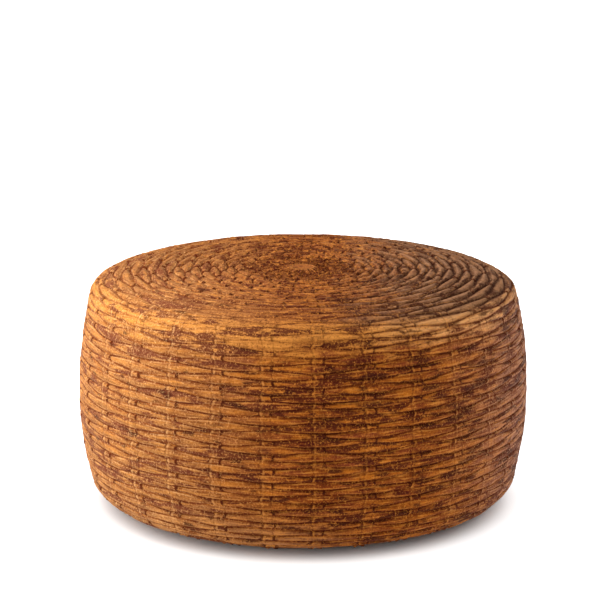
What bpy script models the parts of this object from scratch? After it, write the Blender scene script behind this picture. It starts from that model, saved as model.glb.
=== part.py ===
# A whole wheel of hard sheep's milk cheese that was pressed in a basket of woven rushes.
# The wheel is one solid. Its rind keeps the print of the basket: one long weaver spirals
# from the middle of the top, over the shoulder, down the side and in under the base.
# It passes in front of every other stake, so each pass prints a lens two stakes long, with a
# crevice all round it. Where the weaver goes behind a stake, the crevices of four lenses meet
# in a short upright one, and the lenses of neighbouring rows lie like bricks.
# Metres, +Z up. The origin is the middle of the flat base, and Z is the wheel's axis.

import math
import random

import bmesh
import bpy
import numpy as np
from mathutils import Vector

# Half section of the wheel, over the crowns of the print
BELT_RADIUS = 0.1200
TOP_ABOVE_BELT = 0.0652
TOP_LEAN = 0.0067
TOP_SHOULDER_REACH = 0.0445
TOP_SHOULDER_RISE = 0.0112
BASE_BELOW_BELT = 0.0609
BASE_LEAN = 0.0054
BASE_SHOULDER_REACH = 0.0314
BASE_SHOULDER_RISE = 0.0152
SECTION_STEPS = 60

# The basket: an odd number of stakes lets one weaver alternate at every turn
STAKES = 29
STAKE_ANGLE = 2.0 * math.pi / STAKES
FIRST_STAKE_ANGLE = math.radians(3.7)
FACE_ROW_PITCH = 0.0047
SIDE_ROW_PITCH = 0.0037
BEHIND_STAKE_HALF_ROW = 0.28
WEAVE_START_RADIUS = 0.013
WEAVE_END_RADIUS = 0.1005

# The plain disc that the wheel stands on, as wide as the section is flat
BASE_DISC_RADIUS = 0.083
BASE_DISC_SIDES = 2 * STAKES

# Depth of the print, and the width of the slope from a crevice up to a lens
FACE_RELIEF = 0.0014
SIDE_RELIEF = 0.0009
CREVICE_SLOPE_WIDTH = 0.0009
BASE_FADE_WIDTH = 0.006
BUTTON_RIM_WIDTH = 0.0025

# Unevenness of handmade cheese: wanders are shares of a stake's angle, a row and the relief
SEED = 29
OUT_OF_ROUND = 0.0005
STAKE_WANDER = 0.05
ROW_WANDER = 0.10
CROWN_WANDER = 0.15


def half_section(height, lean, shoulder_reach, shoulder_rise):
    """Radius and distance from the belt, along one half of the section out to the axis."""
    share = np.linspace(0.0, 1.0, SECTION_STEPS)
    side_height = height - shoulder_rise
    side_radius = BELT_RADIUS - lean * share ** 2

    turn = share * math.pi / 2.0
    tangent_shift = 2.0 * lean * shoulder_rise / side_height * np.sin(turn) * (1.0 - np.sin(turn))
    shoulder_radius = BELT_RADIUS - lean - shoulder_reach * (1.0 - np.cos(turn)) - tangent_shift
    shoulder_height = side_height + shoulder_rise * np.sin(turn)

    radius = np.concatenate([side_radius, shoulder_radius[1:], [0.0]])
    distance = np.concatenate([side_height * share, shoulder_height[1:], [height]])
    return radius, distance


def eased(share):
    """A share from 0 to 1 that starts and ends gently."""
    share = np.clip(share, 0.0, 1.0)
    return share * share * (3.0 - 2.0 * share)


class Section:
    """The half section as a line that runs from the middle of the top to the middle of the base."""

    def __init__(self):
        top_radius, top_distance = half_section(
            TOP_ABOVE_BELT, TOP_LEAN, TOP_SHOULDER_REACH, TOP_SHOULDER_RISE)
        base_radius, base_distance = half_section(
            BASE_BELOW_BELT, BASE_LEAN, BASE_SHOULDER_REACH, BASE_SHOULDER_RISE)
        radius = np.concatenate([top_radius[::-1], base_radius[1:]])
        height = np.concatenate([top_distance[::-1], -base_distance[1:]]) + BASE_BELOW_BELT
        corner_run = np.concatenate([[0.0], np.cumsum(np.hypot(np.diff(radius), np.diff(height)))])

        steps = 40 * SECTION_STEPS
        self.run = np.linspace(0.0, corner_run[-1], steps)
        self.radius = np.interp(self.run, corner_run, radius)
        self.height = np.interp(self.run, corner_run, height)
        along_radius = np.gradient(self.radius, self.run)
        along_height = np.gradient(self.height, self.run)
        self.out_radius = -along_height
        self.out_height = along_radius

        flatness = self.out_height ** 2
        pitch = SIDE_ROW_PITCH + (FACE_ROW_PITCH - SIDE_ROW_PITCH) * flatness
        rows = np.cumsum(np.gradient(self.run) / pitch)
        self.row = rows - np.interp(WEAVE_START_RADIUS, self.run, rows)
        self.relief = SIDE_RELIEF + (FACE_RELIEF - SIDE_RELIEF) * flatness
        self.fade_relief_on_base()

    def fade_relief_on_base(self):
        """The print dies out under the base, where the wheel rests and is worn flat."""
        fade = eased((self.radius - WEAVE_END_RADIUS) / BASE_FADE_WIDTH)
        under_base = self.height < BASE_SHOULDER_RISE
        self.relief = np.where(under_base, self.relief * fade, self.relief)

    def last_row(self):
        """The row coordinate where the print ends under the base."""
        half_way = len(self.run) // 2
        runs_in = self.radius[half_way:][::-1]
        return float(np.interp(WEAVE_END_RADIUS, runs_in, self.row[half_way:][::-1]))

    def place(self, angle, row, sunk):
        """The point at one angle and row, sunk below the crowns by a share of the relief."""
        return self.place_at_run(angle, float(np.interp(row, self.row, self.run)), sunk)

    def place_at_run(self, angle, run, sunk):
        depth = sunk * float(np.interp(run, self.run, self.relief))
        radius = float(np.interp(run, self.run, self.radius))
        height = float(np.interp(run, self.run, self.height))
        radius -= depth * float(np.interp(run, self.run, self.out_radius))
        height -= depth * float(np.interp(run, self.run, self.out_height))
        radius *= 1.0 + out_of_round(angle, height) * (radius / BELT_RADIUS) ** 2
        return Vector((radius * math.sin(angle), -radius * math.cos(angle), height))

    def nearest_run(self, point):
        """Where along the section a point of the wheel's surface lies."""
        radius = math.hypot(point.x, point.y)
        away = np.hypot(self.radius - radius, self.height - point.z)
        return float(self.run[int(np.argmin(away))])


def out_of_round(angle, height):
    """Share by which the radius differs from a true circle, in a few slow waves."""
    upward = height / (TOP_ABOVE_BELT + BASE_BELOW_BELT)
    oval = math.sin(2.0 * angle + 0.6)
    lean = 0.6 * math.sin(3.0 * angle + 2.1 + 2.0 * upward)
    dents = 0.4 * math.sin(5.0 * angle + 4.0 - 5.0 * upward)
    return OUT_OF_ROUND / BELT_RADIUS * (oval + lean + dents)


def stake_crevices(mesh, section, chance):
    """Two vertices, upper and lower, wherever the weaver goes behind a stake."""
    last_row = section.last_row()
    crevices = {}
    for stake in range(STAKES):
        first = math.ceil(stake / STAKES)
        for turn in range(first, math.ceil(last_row) + 1):
            row = turn - stake / STAKES
            if (stake + turn) % 2 == 0 or row > last_row:
                continue
            at_edge = row < 1.5 or row > last_row - 2.0
            wander = 0.0 if at_edge else 1.0
            stake_here = stake + wander * chance.uniform(-STAKE_WANDER, STAKE_WANDER)
            row_here = row + wander * chance.uniform(-ROW_WANDER, ROW_WANDER)
            angle = FIRST_STAKE_ANGLE + STAKE_ANGLE * stake_here
            crevices[stake, turn] = [
                mesh.verts.new(section.place(angle, row_here - BEHIND_STAKE_HALF_ROW, 1.0)),
                mesh.verts.new(section.place(angle, row_here + BEHIND_STAKE_HALF_ROW, 1.0)),
            ]
    return crevices


def crevice_at(crevices, stake, turn):
    """The crevice at a stake and turn; past the last stake the weaver is one turn further on."""
    if stake == STAKES:
        return crevices.get((0, turn - 1), [])
    if stake == -1:
        return crevices.get((STAKES - 1, turn + 1), [])
    return crevices.get((stake, turn), [])


def add_lenses(mesh, crevices, turns):
    """A face for each pass of the weaver over a stake, and a part of one at the print's ends."""
    for stake in range(STAKES):
        for turn in range(-1, turns + 2):
            if (stake + turn) % 2 == 1:
                continue
            left = crevice_at(crevices, stake - 1, turn)
            below = crevice_at(crevices, stake, turn + 1)[:1]
            right = crevice_at(crevices, stake + 1, turn)[::-1]
            above = crevice_at(crevices, stake, turn - 1)[1:]
            sides = [side for side in (left, below, right, above) if side]
            if len(sides) >= 3:
                mesh.faces.new([corner for side in sides for corner in side])
    loose = [corner for corner in mesh.verts if not corner.link_faces]
    bmesh.ops.delete(mesh, geom=loose, context="VERTS")


def rim_of_print(mesh, at_top):
    """The edges where the print stops, at the top or under the base."""
    rims = [edge for edge in mesh.edges if edge.is_boundary]
    return [edge for edge in rims if (edge.verts[0].co.z > BASE_BELOW_BELT) == at_top]


def close_top(mesh, section):
    """A flat button in the middle of the top."""
    button = bmesh.ops.holes_fill(mesh, edges=rim_of_print(mesh, True), sides=0)["faces"]
    bmesh.ops.inset_region(mesh, faces=button, thickness=BUTTON_RIM_WIDTH, depth=0.0)
    for corner in button[0].verts:
        corner.co.z = section.height[0]


def close_base(mesh):
    """A plain band turns in under the shoulder to the flat disc that the wheel stands on."""
    rim = rim_of_print(mesh, False)
    disc = bmesh.ops.create_circle(
        mesh, cap_ends=True, radius=BASE_DISC_RADIUS, segments=BASE_DISC_SIDES)["verts"]
    disc_edges = {edge for corner in disc for edge in corner.link_edges}
    bmesh.ops.bridge_loops(mesh, edges=rim + list(disc_edges))


def runs_along_stake(edge):
    """Whether both ends of an edge lie at nearly the same angle round the wheel."""
    one, other = (math.atan2(corner.co.x, -corner.co.y) for corner in edge.verts)
    turn = abs(math.remainder(one - other, 2.0 * math.pi))
    return turn < 0.2 * STAKE_ANGLE


def raise_lenses(mesh, section, lenses, chance):
    """Each lens stands up out of its crevices to the wheel's full outline."""
    bmesh.ops.inset_individual(
        mesh, faces=lenses, thickness=CREVICE_SLOPE_WIDTH, depth=0.0, use_even_offset=True)
    blunt_ends = {edge for lens in lenses for edge in lens.edges if runs_along_stake(edge)}
    bmesh.ops.collapse(mesh, edges=list(blunt_ends))
    for lens in lenses:
        sunk = chance.uniform(0.0, CROWN_WANDER)
        for corner in lens.verts:
            run = section.nearest_run(corner.co)
            angle = math.atan2(corner.co.x, -corner.co.y)
            corner.co = section.place_at_run(angle, run, sunk)


def centre_on_axis(mesh):
    """Unevenness shifts the wheel's outline by a few tenths of a millimetre; put it back."""
    across = [corner.co.x for corner in mesh.verts]
    along = [corner.co.y for corner in mesh.verts]
    middle = Vector(((min(across) + max(across)) / 2.0, (min(along) + max(along)) / 2.0, 0.0))
    bmesh.ops.translate(mesh, vec=-middle, verts=mesh.verts)


def rind_material():
    """Oiled, cured cheese rind: tan to orange-brown, with a dull satin surface."""
    rind = bpy.data.materials.new("cured_rind")
    rind.use_nodes = True
    shader = rind.node_tree.nodes["Principled BSDF"]
    shader.inputs["Base Color"].default_value = (0.36, 0.15, 0.045, 1.0)
    shader.inputs["Roughness"].default_value = 0.6
    shader.inputs["Metallic"].default_value = 0.0
    return rind


def make_wheel():
    section = Section()
    chance = random.Random(SEED)
    mesh = bmesh.new()
    crevices = stake_crevices(mesh, section, chance)
    add_lenses(mesh, crevices, math.ceil(section.last_row()))
    lenses = list(mesh.faces)
    close_top(mesh, section)
    close_base(mesh)
    bmesh.ops.recalc_face_normals(mesh, faces=mesh.faces)
    raise_lenses(mesh, section, lenses, chance)
    centre_on_axis(mesh)
    bmesh.ops.triangulate(mesh, faces=mesh.faces, quad_method="SHORT_EDGE")

    data = bpy.data.meshes.new("cheese_wheel")
    mesh.to_mesh(data)
    mesh.free()
    data.materials.append(rind_material())
    data.shade_smooth()
    data.set_sharp_from_angle(angle=math.radians(30.0))
    wheel = bpy.data.objects.new("cheese_wheel", data)
    bpy.context.collection.objects.link(wheel)
    return wheel


def clear_scene():
    for item in list(bpy.data.objects):
        bpy.data.objects.remove(item, do_unlink=True)


clear_scene()
make_wheel()
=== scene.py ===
# A whole wheel of hard sheep's milk cheese that was pressed in a basket of woven rushes.
# The rind is one closed skin over the wheel's solid. It keeps the print of the basket: one long
# weaver spirals from a plain button in the middle of the top, over the shoulder, down the side
# and in under the base, to the plain disc that the wheel stands on. It passes in front of every
# other stake of the basket, where it prints a long lens, and behind the stakes between, where it
# prints a small block with a pit at each end. Handling has worn the print down on the top
# shoulder, most of all in front.
# Metres, +Z up. The origin is the middle of the flat base, and -Y faces the camera.

import functools
import math
import random
from types import SimpleNamespace

import bmesh
import bpy
import numpy as np
from mathutils import Euler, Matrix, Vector, noise


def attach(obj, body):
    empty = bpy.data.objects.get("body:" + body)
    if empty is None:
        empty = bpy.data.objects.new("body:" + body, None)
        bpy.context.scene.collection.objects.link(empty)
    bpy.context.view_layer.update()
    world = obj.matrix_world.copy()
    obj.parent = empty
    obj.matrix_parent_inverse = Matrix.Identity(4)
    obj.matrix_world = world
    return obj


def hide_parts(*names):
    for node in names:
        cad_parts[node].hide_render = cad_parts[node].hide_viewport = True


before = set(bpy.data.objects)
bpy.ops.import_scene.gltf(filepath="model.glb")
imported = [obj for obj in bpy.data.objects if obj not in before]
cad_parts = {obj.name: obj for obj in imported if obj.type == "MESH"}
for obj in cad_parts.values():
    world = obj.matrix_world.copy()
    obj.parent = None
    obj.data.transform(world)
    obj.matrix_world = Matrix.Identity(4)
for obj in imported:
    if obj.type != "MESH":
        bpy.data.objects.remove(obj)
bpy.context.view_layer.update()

MM = 0.001

# Half section of the wheel, over the crowns of the print
BELT_RADIUS = 0.1200
TOP_ABOVE_BELT = 0.0652
TOP_LEAN = 0.0067
TOP_SHOULDER_REACH = 0.0445
TOP_SHOULDER_RISE = 0.0112
BASE_BELOW_BELT = 0.0609
BASE_LEAN = 0.0054
BASE_SHOULDER_REACH = 0.0314
BASE_SHOULDER_RISE = 0.0152
SECTION_STEPS = 60

# The basket
STAKES = 29
STAKE_ANGLE = 2.0 * math.pi / STAKES
FIRST_STAKE_ANGLE = math.radians(3.7)
FACE_ROW_PITCH = 0.0047
SIDE_ROW_PITCH = 0.0037
WEAVE_START_RADIUS = 0.013
BUTTON_RADIUS = 0.006
WEAVE_END_RADIUS = 0.089
BASE_DISC_RADIUS = 0.108

# The print: half heights are shares of a row, lengths along the weaver are shares of a stake,
# and heights of blocks, rims and pits are shares of the relief
LENS_HALF_ROW = 0.72
BLOCK_MIDDLE_ON_SIDE = 0.66
BLOCK_MIDDLE_ON_FACE = 0.90
BLOCK_RIM_HEIGHT = 0.96
RIM_OVER_CREVICE = 0.65
SHALLOWEST_PIT = 0.60
FACE_RELIEF = 0.0021
SIDE_RELIEF = 0.0014
SHOULDER_WEAR = 0.72
BASE_FADE_WIDTH = 0.010
UPPER_EDGE_WIDTH = 0.30
LOWER_EDGE_WIDTH = 0.36
FACE_EDGE_WIDTH = 0.46
LENS_HOLLOW = 0.12
BLOCK_RIM_FROM_STAKE = 0.076
PIT_FROM_STAKE = 0.106
SIDE_PIT_END = 0.18
FACE_PIT_END = 0.27
STAKE_SEAM = 0.16
STAKE_SEAM_WIDTH = 0.035
FADE_IN_ROWS = 0.8
FADE_OUT_ROWS = 1.2

# Where the skin has its columns round a stake and its rings across a row of the weaver
COLUMNS_FROM_STAKE = (0.0, BLOCK_RIM_FROM_STAKE, PIT_FROM_STAKE, 0.14, 0.21, 0.34)
RINGS_IN_ROW = (0.0, 0.10, 0.36, 0.68, 0.92)
RINGS_IN_PLAIN_ROW = (0.0, 0.15, 0.85)
FIRST_TURN = -3
TURNS_PAST_THE_END = 2
FIRST_FULL_TURN = 4
BUTTON_CROWN = 0.8
BUTTON_RINGS = (0.0, 0.35, 0.62, 0.82, 0.94)
DISC_RINGS = (0.96, 0.88, 0.75, 0.5, 0.25, 0.0)

# Where the plain button and disc lie in the print's maps: on the crown of a lens
PLAIN_PASS = (0.0, 0.5)
EVEN_CHANCE = (0.5, 0.0)

# Unevenness of handmade cheese
SEED = 29
FOR_CROWN = 2
FOR_PIGMENT = 4
FOR_PIT = 6
ROW_WAVER = 1
CREVICE_WAVER = 5
WAVER_PER_STAKE = 0.83
WAVER_SPAN = 1.6
OUT_OF_ROUND = 0.0005
ROW_WANDER = 0.15
STAKE_WANDER = 0.07
STAKE_WANDER_ROUND = 3.0
STAKE_WANDER_PER_METRE = 90.0
STEADY_STAKE_RADIUS = 0.05
CROWN_WANDER_ON_SIDE = 0.20
CROWN_WANDER_ON_FACE = 0.08
SIDE_CREVICE_OVER_LENS = 0.50
FACE_CREVICE_OVER_LENS = 0.90
CREVICE_WANDER = 0.45
WIDEST_BLOCK_STRETCH = 2.4
DENT_DEPTH = 0.00035
DENT_WIDTH = 0.014
UNDENTED_RADIUS = 0.03
FLAT_BASE_HEIGHT = 0.002
MERGE_DISTANCE = 0.00002
SLIVER_WIDTH = 0.00001
# Painted sheen: the rind's colour pales and greys away from this middle line, towards the left and right
OILED_BAND_MIDDLE = 0.028
DRY_FROM_OILED_BAND = (0.025, 0.115)
WORN_FROM_RADIUS = 0.066
WORN_FULLY_RADIUS = 0.098
WORN_FROM_HEIGHT = 0.098
WORN_FULLY_HEIGHT = 0.117
MOST_WORN_ANGLE = math.radians(-20.0)
LEAST_WORN = 0.15
WEAR_FOCUS = 5

# Light of the studio
WORLD_STRENGTH = 0.24
TABLE_STRENGTH = 7.5

# Softboxes: name, azimuth and elevation in degrees, distance and side in metres, and strength
SOFTBOXES = (
    ("key", -78.0, 30.0, 0.55, 0.35, 3.6),
    ("top", -80.0, 68.0, 0.55, 0.35, 3.0),
    ("rim", 75.0, 50.0, 0.75, 0.45, 0.7),
)

# Framing of the photograph
PHOTO_SIDE = 600
FOCAL_PIXELS = 2463.0
BELT_CENTRE_PIXEL = (302.5, 385.0)
CAMERA_DISTANCE = 1.32
CAMERA_ELEVATION = math.radians(15.5)
SENSOR_WIDTH = 36.0


# The section

def half_section(height, lean, shoulder_reach, shoulder_rise):
    """Radius and distance from the belt, along one half of the section out to the axis."""
    share = np.linspace(0.0, 1.0, SECTION_STEPS)
    side_height = height - shoulder_rise
    side_radius = BELT_RADIUS - lean * share ** 2

    turn = share * math.pi / 2.0
    tangent_shift = 2.0 * lean * shoulder_rise / side_height * np.sin(turn) * (1.0 - np.sin(turn))
    shoulder_radius = BELT_RADIUS - lean - shoulder_reach * (1.0 - np.cos(turn)) - tangent_shift
    shoulder_height = side_height + shoulder_rise * np.sin(turn)

    radius = np.concatenate([side_radius, shoulder_radius[1:], [0.0]])
    distance = np.concatenate([side_height * share, shoulder_height[1:], [height]])
    return radius, distance


def eased(share):
    """A share from 0 to 1 that starts and ends gently."""
    share = np.clip(share, 0.0, 1.0)
    return share * share * (3.0 - 2.0 * share)


def side_to_face(on_side, on_face, flatness):
    """A value of the side that turns into that of the flat faces."""
    return on_side + (on_face - on_side) * flatness


class Section:
    """The half section as a line that runs from the middle of the top to the middle of the base."""

    def __init__(self):
        top_radius, top_distance = half_section(
            TOP_ABOVE_BELT, TOP_LEAN, TOP_SHOULDER_REACH, TOP_SHOULDER_RISE)
        base_radius, base_distance = half_section(
            BASE_BELOW_BELT, BASE_LEAN, BASE_SHOULDER_REACH, BASE_SHOULDER_RISE)
        radius = np.concatenate([top_radius[::-1], base_radius[1:]])
        height = np.concatenate([top_distance[::-1], -base_distance[1:]]) + BASE_BELOW_BELT
        corner_run = np.concatenate([[0.0], np.cumsum(np.hypot(np.diff(radius), np.diff(height)))])

        self.run = np.linspace(0.0, corner_run[-1], 40 * SECTION_STEPS)
        self.radius = np.interp(self.run, corner_run, radius)
        self.height = np.interp(self.run, corner_run, height)
        self.out_radius = -np.gradient(self.height, self.run)
        self.out_height = np.gradient(self.radius, self.run)

        self.flatness = self.out_height ** 2
        pitch = side_to_face(SIDE_ROW_PITCH, FACE_ROW_PITCH, self.flatness)
        rows = np.cumsum(np.gradient(self.run) / pitch)
        self.row = rows - np.interp(WEAVE_START_RADIUS, self.run, rows)
        relief = side_to_face(SIDE_RELIEF, FACE_RELIEF, self.flatness)
        fade = eased((self.radius - WEAVE_END_RADIUS) / BASE_FADE_WIDTH)
        self.relief = np.where(self.height < BASE_SHOULDER_RISE, relief * fade, relief)
        far_out = eased((self.radius - WORN_FROM_RADIUS) / (WORN_FULLY_RADIUS - WORN_FROM_RADIUS))
        high_up = eased((self.height - WORN_FROM_HEIGHT) / (WORN_FULLY_HEIGHT - WORN_FROM_HEIGHT))
        self.worn = far_out * high_up

    def last_row(self):
        """Row coordinate where the print ends under the base."""
        half_way = len(self.run) // 2
        runs_in = self.radius[half_way:][::-1]
        return float(np.interp(WEAVE_END_RADIUS, runs_in, self.row[half_way:][::-1]))

    def place(self, angle, run, depth):
        """The point at one angle and distance along the section, sunk by a depth."""
        radius = np.interp(run, self.run, self.radius)
        height = np.interp(run, self.run, self.height)
        radius = radius - depth * np.interp(run, self.run, self.out_radius)
        height = height - depth * np.interp(run, self.run, self.out_height)
        radius = radius * (1.0 + out_of_round(angle, height) * (radius / BELT_RADIUS) ** 2)
        return radius * np.sin(angle), -radius * np.cos(angle), height


def out_of_round(angle, height):
    """Share by which the radius differs from a true circle, in a few slow waves."""
    upward = height / (TOP_ABOVE_BELT + BASE_BELOW_BELT)
    oval = np.sin(2.0 * angle + 0.6)
    lean = 0.6 * np.sin(3.0 * angle + 2.1 + 2.0 * upward)
    dents = 0.4 * np.sin(5.0 * angle + 4.0 - 5.0 * upward)
    return OUT_OF_ROUND / BELT_RADIUS * (oval + lean + dents)


def worn_at(section, angle, run):
    """Share by which handling has rubbed the print off the top shoulder, most of all in front."""
    in_front = (0.5 + 0.5 * math.cos(angle - MOST_WORN_ANGLE)) ** WEAR_FOCUS
    on_shoulder = float(np.interp(run, section.run, section.worn))
    return (LEAST_WORN + (1.0 - LEAST_WORN) * in_front) * on_shoulder


# The print of the weave

@functools.lru_cache(maxsize=None)
def chance_of_pass(number, purpose):
    """A fixed random share for one pass of the weaver over or behind a stake."""
    return random.Random(number * 101 + purpose * 7 + SEED).random()


def waver(along, purpose):
    """A slow random wave along the weaver, between about -1 and 1."""
    return WAVER_SPAN * noise.noise(Vector((along * WAVER_PER_STAKE, purpose * 9.7, 3.1)))


def half_row(along):
    """Half height of the weaver's print, as a share of a row: large over a stake, small behind."""
    return 0.5 + (LENS_HALF_ROW - 0.5) * math.cos(math.pi * along)


def crevice_row(stake, turn):
    """Row coordinate of the crevice above one turn of the weaver, at a stake coordinate."""
    along = stake - STAKES * turn
    return turn - stake / STAKES - half_row(along) + ROW_WANDER * waver(along, ROW_WAVER)


def step_up(value, low, high):
    """A soft step from 0 at the low value to 1 at the high one."""
    return float(eased((value - low) / (high - low)))


def crevice_depth(along, share, flatness):
    """Depth of the nearer crevice, from 0 to 1: on the side it is deep under a lens only."""
    lens_beside = 0.5 + 0.5 * math.cos(math.pi * along)
    lens_above = lens_beside if share > 0.5 else 1.0 - lens_beside
    shallow = side_to_face(SIDE_CREVICE_OVER_LENS, FACE_CREVICE_OVER_LENS, flatness)
    depth = shallow + (1.0 - shallow) * lens_above
    nearer = along if share > 0.5 else along + STAKES
    return depth * (1.0 - CREVICE_WANDER * max(0.0, waver(nearer * 2.3, CREVICE_WAVER)))


def crown_of_pass(along, share, flatness):
    """Height of the print from 0 in a crevice to 1, at a place along and across the weaver.
    On the flat faces the passes are rounder and shorter than on the side, with longer pits."""
    behind = round(along)
    nearest_over = 2 * round(along / 2.0)
    from_stake = 1.0 - abs(along - nearest_over)
    side_edge = UPPER_EDGE_WIDTH if share < 0.5 else LOWER_EDGE_WIDTH
    edge_width = side_to_face(side_edge, FACE_EDGE_WIDTH, flatness)
    slope = step_up(min(share, 1.0 - share), 0.0, edge_width)
    rise = 1.0 - crevice_depth(along, share, flatness) * (1.0 - slope)
    wander = side_to_face(CROWN_WANDER_ON_SIDE, CROWN_WANDER_ON_FACE, flatness)
    if from_stake < PIT_FROM_STAKE:
        rim = step_up(from_stake, 0.0, BLOCK_RIM_FROM_STAKE)
        middle = side_to_face(BLOCK_MIDDLE_ON_SIDE, BLOCK_MIDDLE_ON_FACE, flatness)
        body = middle + (BLOCK_RIM_HEIGHT - middle) * rim
        body *= 1.0 - wander * chance_of_pass(behind, FOR_CROWN)
        return body * (rise + (1.0 - rise) * RIM_OVER_CREVICE * rim)
    body = 1.0 - wander * chance_of_pass(nearest_over, FOR_CROWN)
    in_hollow = step_up(slope, 0.4, 1.0) * step_up(from_stake, 0.1, 0.4)
    hollow = 1.0 - LENS_HOLLOW * (1.0 - flatness) * in_hollow
    pit_end = side_to_face(SIDE_PIT_END, FACE_PIT_END, flatness)
    pit = 2 * behind + (1 if along > behind else 0)
    pit_depth = SHALLOWEST_PIT + (1.0 - SHALLOWEST_PIT) * chance_of_pass(pit, FOR_PIT)
    in_pit = 1.0 - pit_depth * (1.0 - step_up(from_stake, PIT_FROM_STAKE, pit_end))
    from_seam = abs(1.0 - from_stake - PIT_FROM_STAKE)
    seam = 1.0 - STAKE_SEAM * (1.0 - step_up(from_seam, 0.0, STAKE_SEAM_WIDTH))
    return body * hollow * rise * in_pit * seam


# The rind's skin

def stake_columns():
    """Stake coordinates of the skin's columns, from the back of the wheel round to the back."""
    around = sorted({sign * offset for offset in COLUMNS_FROM_STAKE for sign in (-1.0, 1.0)})
    first = -(STAKES // 2)
    columns = [-STAKES / 2.0]
    for stake in range(first, first + STAKES):
        columns += [stake + offset for offset in around]
        columns.append(stake + 0.5)
    return columns


def weave_rings(section):
    """Turn of the weaver and share across it, for each ring of the skin in the print."""
    last_turn = math.ceil(section.last_row()) + TURNS_PAST_THE_END
    last_full_turn = float(np.interp(section.run[-1] - BASE_DISC_RADIUS, section.run, section.row))
    rings = []
    for turn in range(FIRST_TURN, last_turn + 1):
        full = FIRST_FULL_TURN <= turn <= last_full_turn
        rings += [(turn, share) for share in (RINGS_IN_ROW if full else RINGS_IN_PLAIN_ROW)]
    return rings


def stretched(stake, radius):
    """A stake coordinate moved so that blocks and pits keep their width where stakes draw close."""
    nearest = round(stake)
    share = 2.0 * abs(stake - nearest)
    stretch = min(BELT_RADIUS / max(radius, 0.001), WIDEST_BLOCK_STRETCH)
    moved = 0.5 * stretch * share / (1.0 + (stretch - 1.0) * share)
    return nearest + math.copysign(moved, stake - nearest)


def print_at(section, stake, turn, share, first_row, last_row):
    """Row coordinate and crown height at one point of the print."""
    above = crevice_row(stake, turn)
    below = crevice_row(stake, turn + 1)
    row = above + (below - above) * share
    flatness = float(np.interp(row, section.row, section.flatness))
    crown = crown_of_pass(stake - STAKES * turn, share, flatness)
    fade = step_up(row - first_row, 0.0, FADE_IN_ROWS) * step_up(last_row - row, 0.0, FADE_OUT_ROWS)
    return min(max(row, first_row), last_row), 1.0 - (1.0 - crown) * fade


def dent_at(angle, run):
    """Soft dents of a hand-turned cheese, in metres of depth."""
    place = Vector((math.sin(angle), math.cos(angle), run / BELT_RADIUS)) * (BELT_RADIUS / DENT_WIDTH)
    return DENT_DEPTH * (0.5 + noise.noise(place))


def stake_angle_at(stake, run, radius):
    """Angle round the wheel of a stake coordinate, which wanders a little down the section."""
    turn = stake * STAKE_ANGLE
    place = Vector((math.sin(turn), math.cos(turn), run * STAKE_WANDER_PER_METRE))
    steadied = min(1.0, radius / STEADY_STAKE_RADIUS)
    wander = STAKE_WANDER * noise.noise(place * STAKE_WANDER_ROUND) * steadied
    return FIRST_STAKE_ANGLE + STAKE_ANGLE * (stretched(stake, radius) + wander)


def shape_skin(mesh, section, columns, rings):
    """Moves the points of a flat grid onto the wheel, and notes where each is in the print."""
    fact_names = ("crown", "face", "worn", "stake", "ring")
    facts = {name: mesh.verts.layers.float.new(name) for name in fact_names}
    first_row = float(np.interp(BUTTON_RADIUS, section.run, section.row))
    last_row = section.last_row()
    end_run = float(np.interp(last_row, section.row, section.run))
    wheel_run = float(section.run[-1])
    first_woven = len(BUTTON_RINGS)
    first_plain = first_woven + len(rings)
    ring_count = first_plain + len(DISC_RINGS)
    for corner in mesh.verts:
        column = round((corner.co.x + 1.0) / 2.0 * (len(columns) - 1))
        ring = round((corner.co.y + 1.0) / 2.0 * (ring_count - 1))
        stake = columns[column]
        crown = 1.0
        if ring < first_woven:
            run = BUTTON_RADIUS * BUTTON_RINGS[ring]
            crown = BUTTON_CROWN
        elif ring >= first_plain:
            run = wheel_run - (wheel_run - end_run) * DISC_RINGS[ring - first_plain]
        else:
            turn, share = rings[ring - first_woven]
            row, crown = print_at(section, stake, turn, share, first_row, last_row)
            run = float(np.interp(row, section.row, section.run))
        radius = float(np.interp(run, section.run, section.radius))
        angle = stake_angle_at(stake, run, radius)
        worn = worn_at(section, angle, run)
        relief = float(np.interp(run, section.run, section.relief)) * (1.0 - SHOULDER_WEAR * worn)
        depth = (1.0 - crown) * relief
        depth += dent_at(angle, run) * step_up(radius, 0.0, UNDENTED_RADIUS)
        on_base = section.height[np.searchsorted(section.run, run) - 1] < FLAT_BASE_HEIGHT
        corner[facts["crown"]] = crown
        corner[facts["face"]] = float(np.interp(run, section.run, section.flatness))
        corner[facts["worn"]] = worn
        corner[facts["stake"]] = stake
        corner[facts["ring"]] = ring
        corner.co = section.place(angle, run, depth)
        if on_base:
            corner.co.z = max(corner.co.z, 0.0)


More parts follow.
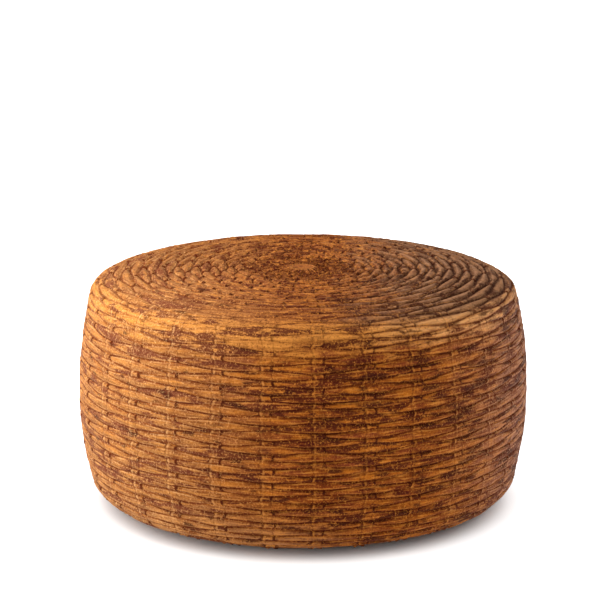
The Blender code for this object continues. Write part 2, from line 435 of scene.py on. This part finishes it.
def map_skin(mesh, rings):
    """Three maps. "weave" is in metres, along the weaver and down the section. "pass" holds the
    stakes passed along the weaver, even where it lies over one, and the share across it.
    "chance" holds a random share for each pass. The plain button and disc lie flat in them."""
    stake_fact = mesh.verts.layers.float["stake"]
    ring_fact = mesh.verts.layers.float["ring"]
    weave_map = mesh.loops.layers.uv.new("weave")
    pass_map = mesh.loops.layers.uv.new("pass")
    chance_map = mesh.loops.layers.uv.new("chance")
    for face in mesh.faces:
        upper = round(min(corner[ring_fact] for corner in face.verts)) - len(BUTTON_RINGS)
        turn, upper_share = rings[min(max(upper, 0), len(rings) - 1)]
        middle = sum(corner[stake_fact] for corner in face.verts) / len(face.verts) - STAKES * turn
        from_block = abs(middle - round(middle))
        behind = round(middle) % 2 == 1 and from_block < PIT_FROM_STAKE
        number = round(middle) if behind else 2 * round(middle / 2.0)
        plain = not 0 <= upper < len(rings) - 1
        for loop in face.loops:
            if plain:
                loop[weave_map].uv = loop.vert.co.xy
                loop[pass_map].uv = PLAIN_PASS
                loop[chance_map].uv = EVEN_CHANCE
                continue
            ring = round(loop.vert[ring_fact]) - len(BUTTON_RINGS)
            woven = 0 <= ring < len(rings)
            same_turn = woven and rings[ring][0] == turn
            share = rings[ring][1] if same_turn else (1.0 if ring > upper else 0.0)
            stake = loop.vert[stake_fact]
            along = stake - STAKES * turn
            row = turn + share - stake / STAKES
            loop[weave_map].uv = (along * STAKE_ANGLE * BELT_RADIUS, row * SIDE_ROW_PITCH)
            loop[pass_map].uv = (along, share)
            loop[chance_map].uv = (chance_of_pass(number, FOR_PIGMENT), 0.0)


def make_rind():
    """A grid of columns and rings, shaped onto the wheel, mapped, merged and closed."""
    section = Section()
    columns = stake_columns()
    rings = weave_rings(section)
    ring_count = len(BUTTON_RINGS) + len(rings) + len(DISC_RINGS)
    mesh = bmesh.new()
    bmesh.ops.create_grid(mesh, x_segments=len(columns) - 1, y_segments=ring_count - 1, size=1.0)
    shape_skin(mesh, section, columns, rings)
    map_skin(mesh, rings)
    bmesh.ops.remove_doubles(mesh, verts=mesh.verts, dist=MERGE_DISTANCE)
    bmesh.ops.dissolve_degenerate(mesh, edges=mesh.edges, dist=SLIVER_WIDTH)
    gaps = [edge for edge in mesh.edges if edge.is_boundary]
    bmesh.ops.holes_fill(mesh, edges=gaps, sides=0)
    bmesh.ops.recalc_face_normals(mesh, faces=mesh.faces)

    data = bpy.data.meshes.new("rind")
    mesh.to_mesh(data)
    mesh.free()
    data.shade_smooth()
    rind = bpy.data.objects.new("rind", data)
    bpy.context.collection.objects.link(rind)
    return rind


# Materials

def linear(hex_colour):
    """An sRGB hex colour as linear red, green, blue and alpha."""
    shares = [int(hex_colour[place:place + 2], 16) / 255.0 for place in (1, 3, 5)]
    curve = [share / 12.92 if share <= 0.04045 else ((share + 0.055) / 1.055) ** 2.4 for share in shares]
    return (*curve, 1.0)


def add_node(tree, kind, inputs, output=0, **settings):
    """Adds a node with its settings. Each input is linked to a socket or set to a value, and the
    socket of one output comes back."""
    node = tree.nodes.new("ShaderNode" + kind)
    for name, value in settings.items():
        setattr(node, name, value)
    for place, value in inputs.items():
        if isinstance(value, bpy.types.NodeSocket):
            tree.links.new(value, node.inputs[place])
        else:
            node.inputs[place].default_value = linear(value) if isinstance(value, str) else value
    return node.outputs[output]


def new_material(name):
    material = bpy.data.materials.new(name)
    material.use_nodes = True
    return material, material.node_tree.nodes["Principled BSDF"]


def lay_on(tree, colour, *layers):
    """Lays colours over a colour one after the other, each by its share."""
    for share, layer in layers:
        colour = add_node(tree, "Mix", {0: share, 6: colour, 7: layer}, 2, data_type="RGBA")
    return colour


def share_where(tree, *factors):
    """Share of a layer: the product of shares and of soft ramps. A ramp is a measure, where the
    ramp starts and ends, and the shares at its two ends if they aren't 0 and 1."""
    product = None
    for factor in factors:
        if not isinstance(factor, bpy.types.NodeSocket):
            measure, start, end, *shares = factor
            low, high = shares or (0.0, 1.0)
            factor = add_node(
                tree, "MapRange",
                {"Value": measure, "From Min": start, "From Max": end, "To Min": low, "To Max": high},
                interpolation_type="SMOOTHSTEP")
        if product is None:
            product = factor
        else:
            product = add_node(tree, "Math", {0: product, 1: factor}, operation="MULTIPLY")
    return product


def ragged(tree, measure, *patterns):
    """A measure made uneven by patterns, each of which moves it by half its reach either way."""
    for pattern, reach in patterns:
        push = add_node(tree, "Math", {0: pattern, 1: reach, 2: -0.5 * reach}, operation="MULTIPLY_ADD")
        measure = add_node(tree, "Math", {0: measure, 1: push}, operation="ADD")
    return measure


def away_from(tree, measure, middle):
    """How far a measure is from a middle value, on either side of it."""
    signed = add_node(tree, "Math", {0: measure, 1: middle}, operation="SUBTRACT")
    return add_node(tree, "Math", {0: signed}, operation="ABSOLUTE")


def blotches(tree, places, width, detail, roughness, seed):
    """Cloudy pattern with patches of a real width in metres."""
    moved = add_node(tree, "VectorMath", {0: places, 1: (seed, seed, seed)}, operation="ADD")
    pattern = {"Vector": moved, "Scale": 1.0 / width, "Detail": detail, "Roughness": roughness}
    return add_node(tree, "TexNoise", pattern, "Fac")


def rush_fibres(tree, weave, length, width, seed=0.0):
    """Pattern drawn out along the weaver, of a real length and width in metres."""
    scale = (1.0 / length, 1.0 / width, 1.0)
    drawn_out = add_node(
        tree, "Mapping", {"Vector": weave, "Scale": scale, "Location": (seed, seed, seed)})
    pattern = {"Vector": drawn_out, "Scale": 1.0, "Detail": 3.0, "Roughness": 0.6}
    return add_node(tree, "TexNoise", pattern, "Fac")


def rind_measures(tree):
    """What the rind's layers depend on: places on the wheel in metres, places in the print, its
    patterns, and the colours that several layers share."""
    rind = SimpleNamespace()
    places = add_node(tree, "TexCoord", {}, "Object")
    rind.outwards = add_node(tree, "SeparateXYZ", {0: places}, "X")
    rind.upwards = add_node(tree, "SeparateXYZ", {0: places}, "Z")
    rind.crown = add_node(tree, "Attribute", {}, "Fac", attribute_name="crown")
    rind.face = add_node(tree, "Attribute", {}, "Fac", attribute_name="face")
    rind.worn = add_node(tree, "Attribute", {}, "Fac", attribute_name="worn")
    chance = add_node(tree, "UVMap", {}, uv_map="chance")
    rind.pigment = add_node(tree, "SeparateXYZ", {0: chance}, "X")

    # Distances in the print, from the nearer crevice, any stake and the middle of a block
    in_pass = add_node(tree, "UVMap", {}, uv_map="pass")
    rind.along = add_node(tree, "SeparateXYZ", {0: in_pass}, "X")
    across = add_node(tree, "SeparateXYZ", {0: in_pass}, "Y")
    rind.from_crevice = add_node(tree, "Math", {0: across, 1: 0.5}, operation="PINGPONG")
    rind.from_stake = add_node(tree, "Math", {0: rind.along, 1: 0.5}, operation="PINGPONG")
    from_lens = add_node(tree, "Math", {0: rind.along, 1: 1.0}, operation="PINGPONG")
    rind.from_block = add_node(tree, "Math", {0: 1.0, 1: from_lens}, operation="SUBTRACT")

    # The grain is drawn about twice as coarse as that of a real rind, so that it shows
    weave = add_node(tree, "UVMap", {}, uv_map="weave")
    rind.clouds = blotches(tree, places, 40 * MM, 4.0, 0.55, 3.0)
    rind.grain = blotches(tree, places, 1.0 * MM, 3.0, 0.75, 5.0)
    rind.fibres = rush_fibres(tree, weave, 12 * MM, 0.9 * MM)
    rind.stains = rush_fibres(tree, weave, 14 * MM, 2.6 * MM)
    rind.tints = rush_fibres(tree, weave, 20 * MM, 5 * MM)
    rind.spots = rush_fibres(tree, weave, 20 * MM, 6 * MM, 7.0)

    # Painted sheen: paler and greyer away from a middle line towards the left and right, greyest at the
    # right; and a painted shadow, grey-brown, on the right of the top
    rind.from_oiled_band = away_from(tree, rind.outwards, OILED_BAND_MIDDLE)
    rind.dry = share_where(tree, (rind.from_oiled_band, *DRY_FROM_OILED_BAND))
    rind.dusty = share_where(tree, (rind.outwards, 50 * MM, 110 * MM))
    rind.printed = share_where(tree, (rind.worn, 0.0, 1.0, 1.0, 0.45))
    # Painted shadow: grey-brown over the right of the top face
    bloom_edge = ragged(tree, rind.outwards, (rind.tints, 100 * MM))
    rind.bloom = share_where(
        tree, (bloom_edge, 10 * MM, 70 * MM, 0.0, 0.72), (rind.face, 0.55, 0.95),
        (rind.upwards, 60 * MM, 90 * MM))
    # Dark brown of dirt on fibres, seams and grain, also used as painted shade in crevices and pits
    rind.dirt = lay_on(tree, "#3A1004", (rind.dry, "#562009"))
    # Painted sheen: paler, greyer colours towards the sides, greyest at the right
    dry_tan = lay_on(tree, "#E2AC70", (rind.dusty, "#D8AC8C"))
    rind.pale = lay_on(tree, "#C87C30", (rind.dry, dry_tan))
    return rind


def tanned(tree, rind):
    """Gold to orange-brown, with painted sheen that pales it towards the left and right, painted light
    at the left of the foot, painted shade over the top face, and a top shoulder paler partly from wear
    by hands and partly from painted light."""
    tinted = share_where(tree, (rind.tints, 0.36, 0.64))
    browned = share_where(tree, (rind.clouds, 0.60, 0.36, 0.0, 0.7))
    # Painted sheen: paler colour towards the left and right
    dust = lay_on(tree, "#BA844A", (rind.dusty, "#B4866C"))
    dusted = share_where(tree, (rind.from_oiled_band, *DRY_FROM_OILED_BAND, 0.0, 0.5))
    # Painted shade: the flat top darker and greyer
    greyed = add_node(tree, "Math", {0: rind.face, 1: 0.45}, operation="MULTIPLY")
    # Paler top shoulder, lightest to the right: partly wear, partly painted light from above
    rubbed = lay_on(tree, "#CA853C", (share_where(tree, (rind.outwards, 20 * MM, 80 * MM)), "#F0B070"))
    ragged_height = ragged(tree, rind.upwards, (rind.tints, 30 * MM))
    paler = share_where(
        tree, (rind.face, 0.98, 0.75), (ragged_height, 102 * MM, 117 * MM),
        (rind.worn, 0.0, 0.6, 0.56, 0.80))
    # Painted light: the foot paler at the left, where light bounces up from the table
    foot = share_where(
        tree, (rind.upwards, 35 * MM, 10 * MM, 0.0, 0.4), (rind.outwards, 40 * MM, -10 * MM))
    return lay_on(
        tree, "#78381A", (tinted, "#AC6018"), (browned, "#682B06"), (dusted, dust),
        (greyed, "#7A4C30"), (paler, rubbed), (foot, "#BC8654"))


def dirtied(tree, rind, colour):
    """Painted shade darkens the valleys; dirt and oil follow the fibres and soak stretches of single
    passes.
    """
    # Painted shade in the valleys between passes
    to_valley = ragged(tree, rind.from_crevice, (rind.stains, 0.7))
    valley = share_where(tree, (to_valley, 0.44, 0.04, 0.0, 0.85), rind.printed)
    valley_brown = lay_on(tree, "#5C2205", (rind.dry, "#7C3A14"))
    dark_fibre = share_where(tree, (rind.fibres, 0.52, 0.32, 0.0, 0.5))
    light_fibre = share_where(tree, (rind.fibres, 0.52, 0.68, 0.0, 0.55))
    stained = ragged(tree, rind.stains, (rind.pigment, 0.38), (rind.grain, 0.2))
    soaked = share_where(tree, (stained, 0.46, 0.30, 0.0, 0.9))
    soaked_brown = lay_on(tree, "#42140A", (rind.dry, "#6A3420"))
    return lay_on(
        tree, colour, (valley, valley_brown), (dark_fibre, rind.dirt), (light_fibre, "#CC8438"),
        (soaked, soaked_brown))


def bloomed(tree, rind, colour):
    """A painted shadow, grey-brown, on the right of the top, with painted highlights on its ridges, and
    dark spots of mould, which are more frequent towards the right."""
    # Painted highlight on the ridges of the top
    ridge = share_where(tree, (rind.crown, 0.75, 1.0, 0.0, 0.6), (rind.face, 0.85, 0.98))
    ridge_tan = lay_on(tree, "#A46A38", (rind.bloom, "#C29470"))
    frequency = share_where(tree, (rind.outwards, -80 * MM, 70 * MM, -0.045, 0.035))
    spotted = add_node(tree, "Math", {0: rind.spots, 1: frequency}, operation="ADD")
    spotted = ragged(tree, spotted, (rind.stains, -0.4))
    spot = share_where(tree, (spotted, 0.56, 0.66, 0.0, 0.8), (rind.upwards, 0.0, 10 * MM))
    return lay_on(tree, colour, (rind.bloom, "#7C5A42"), (ridge, ridge_tan), (spot, "#341208"))


def marked_by_stakes(tree, rind, colour):
    """Where the weaver passed a stake: a painted highlight on the left edge of a block, painted shade in
    the pit at each end, darker on one side, a faint seam along the stake, and a painted highlight on the
    rims beside the crevices."""
    past_stake = add_node(tree, "Math", {0: rind.along, 1: 0.5, 2: -0.5}, operation="WRAP")
    off_face = share_where(tree, (rind.face, 0.90, 0.99, 1.0, 0.0))
    # Painted highlight: a pale edge on the left side of each block, facing the light
    from_edge = away_from(tree, past_stake, 0.01 - BLOCK_RIM_FROM_STAKE)
    pale_edge = share_where(
        tree, (from_edge, 0.034, 0.005), (rind.from_block, 0.12, 0.09, 0.12, 0.42), off_face)
    from_seam = away_from(tree, rind.from_stake, PIT_FROM_STAKE)
    seam = share_where(tree, (from_seam, 0.025, 0.0, 0.0, 0.35), off_face)
    # Painted highlight along the rims beside the crevices
    from_rim = away_from(tree, rind.from_crevice, 0.18)
    rim = share_where(
        tree, (from_rim, 0.10, 0.01), (rind.stains, 0.42, 0.62, 0.05, 0.45), rind.printed)
    # Painted shade in the pits at the ends of blocks, darker on the side of the stake away from the
    # light
    from_pit = away_from(tree, rind.from_block, PIT_FROM_STAKE + 0.01)
    pit = share_where(
        tree, (from_pit, 0.040, 0.012), (past_stake, -0.05, 0.05, 0.7, 0.95), rind.printed)
    return lay_on(
        tree, colour, (pale_edge, rind.pale), (seam, rind.dirt), (rim, rind.pale), (pit, rind.dirt))


def creviced_and_grained(tree, rind, colour):
    """Painted shade in the crevices, darkest under the painted shadow on the right of the top, and a
    fine light and dark grain of dry salt.
    """
    low_print = ragged(tree, rind.crown, (rind.fibres, 0.8))
    # Painted shade in the low parts of the print
    crevice = share_where(
        tree, (low_print, 0.62, 0.0), rind.printed, (rind.face, 0.8, 0.99, 0.65, 0.95))
    # Painted shade: crevices darker still under the painted shadow on the top
    deep = share_where(tree, (low_print, 0.85, 0.30), rind.bloom)
    grainy = share_where(tree, (rind.worn, 0.0, 0.6, 0.65, 0.85))
    light_grain = share_where(tree, (rind.grain, 0.53, 0.70), grainy)
    dark_grain = share_where(tree, (rind.grain, 0.47, 0.30), grainy)
    grain_tan = lay_on(tree, rind.pale, (rind.bloom, "#A07C5E"))
    return lay_on(
        tree, colour, (crevice, rind.dirt), (deep, "#2C1409"), (light_grain, grain_tan),
        (dark_grain, rind.dirt))


def cured_rind():
    """Rind of a hard cheese, oiled and cured for months: tan to orange-brown and satin, with
    painted shade in the creases, single weaver passes soaked dark, painted sheen, shadow and highlights
    in places, and a fine dry grain."""
    material, shader = new_material("cured_basket_rind")
    tree = material.node_tree
    rind = rind_measures(tree)
    colour = tanned(tree, rind)
    for layers in (dirtied, bloomed, marked_by_stakes, creviced_and_grained):
        colour = layers(tree, rind, colour)
    tree.links.new(colour, shader.inputs["Base Color"])
    shader.inputs["Roughness"].default_value = 0.65
    shader.inputs["IOR"].default_value = 1.4
    shader.inputs["Specular IOR Level"].default_value = 0.05

    fine_grain = add_node(tree, "Math", {0: rind.grain, 1: 0.45}, operation="MULTIPLY")
    height = add_node(tree, "Math", {0: rind.fibres, 1: 0.6, 2: fine_grain}, operation="MULTIPLY_ADD")
    relief = add_node(
        tree, "Bump", {"Height": height, "Strength": 1.0, "Distance": 0.9 * MM}, "Normal")
    tree.links.new(relief, shader.inputs["Normal"])
    return material


def white_table():
    """Matt white lacquer on the table under the cheese."""
    material, shader = new_material("matt_white_lacquer")
    shader.inputs["Base Color"].default_value = linear("#EDEDED")
    shader.inputs["Roughness"].default_value = 0.9
    return material


# Studio

def make_floor():
    mesh = bmesh.new()
    bmesh.ops.create_grid(mesh, x_segments=1, y_segments=1, size=12.0)
    data = bpy.data.meshes.new("floor")
    mesh.to_mesh(data)
    mesh.free()
    data.materials.append(white_table())
    floor = bpy.data.objects.new("floor", data)
    bpy.context.collection.objects.link(floor)
    return floor


def light_only(lamp, receiver):
    """Flags a lamp off everything except one object, which others still shade."""
    receivers = bpy.data.collections.new(lamp.name + "_receivers")
    receivers.objects.link(receiver)
    lamp.light_linking.receiver_collection = receivers


def hang_lamp(name, light, azimuth, elevation, distance):
    """A lamp that faces the wheel: azimuth 0 is on the camera's side, positive to its right."""
    lamp = bpy.data.objects.new(name, light)
    turn, rise = math.radians(azimuth), math.radians(elevation)
    towards = Vector((math.sin(turn) * math.cos(rise), -math.cos(turn) * math.cos(rise), math.sin(rise)))
    lamp.rotation_euler = towards.to_track_quat("Z", "Y").to_euler()
    lamp.location = Vector((0.0, 0.0, BASE_BELOW_BELT)) + towards * distance
    bpy.context.collection.objects.link(lamp)
    return lamp


def add_softbox(name, azimuth, elevation, distance, side, strength):
    """A square softbox, whose strength is the light that reaches the middle of the wheel."""
    light = bpy.data.lights.new(name, "AREA")
    light.size = side
    light.energy = strength * math.pi * distance ** 2
    return hang_lamp(name, light, azimuth, elevation, distance)


def make_studio(cheese, table):
    world = bpy.data.worlds.new("studio")
    world.use_nodes = True
    world.node_tree.nodes["Background"].inputs["Color"].default_value = (1.0, 1.0, 1.0, 1.0)
    world.node_tree.nodes["Background"].inputs["Strength"].default_value = WORLD_STRENGTH
    bpy.context.scene.world = world
    for softbox in SOFTBOXES:
        light_only(add_softbox(*softbox), cheese)

    # A wide soft light from above makes the table white, with a shadow only close to the wheel
    overhead = bpy.data.lights.new("overhead", "SUN")
    overhead.energy = TABLE_STRENGTH
    overhead.angle = math.radians(150.0)
    light_only(hang_lamp("overhead", overhead, -75.0, 72.0, 1.0), table)


def make_camera():
    data = bpy.data.cameras.new("camera")
    data.sensor_width = SENSOR_WIDTH
    data.lens = FOCAL_PIXELS / PHOTO_SIDE * SENSOR_WIDTH
    data.clip_end = 50.0
    camera = bpy.data.objects.new("camera", data)
    back = Vector((0.0, -math.cos(CAMERA_ELEVATION), math.sin(CAMERA_ELEVATION)))
    camera.location = Vector((0.0, 0.0, BASE_BELOW_BELT)) + back * CAMERA_DISTANCE
    pitch_up = math.atan((BELT_CENTRE_PIXEL[1] - PHOTO_SIDE / 2) / FOCAL_PIXELS)
    yaw_left = math.atan((BELT_CENTRE_PIXEL[0] - PHOTO_SIDE / 2) / FOCAL_PIXELS)
    aim = back.to_track_quat("Z", "Y") @ Euler((pitch_up, yaw_left, 0.0)).to_quaternion()
    camera.rotation_euler = aim.to_euler()
    bpy.context.collection.objects.link(camera)
    bpy.context.scene.camera = camera


bpy.context.scene.view_settings.view_transform = "Standard"
make_camera()
floor = make_floor()

rind = make_rind()
make_studio(rind, floor)
rind.data.materials.append(cured_rind())
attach(rind, "root")
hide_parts("cheese_wheel")
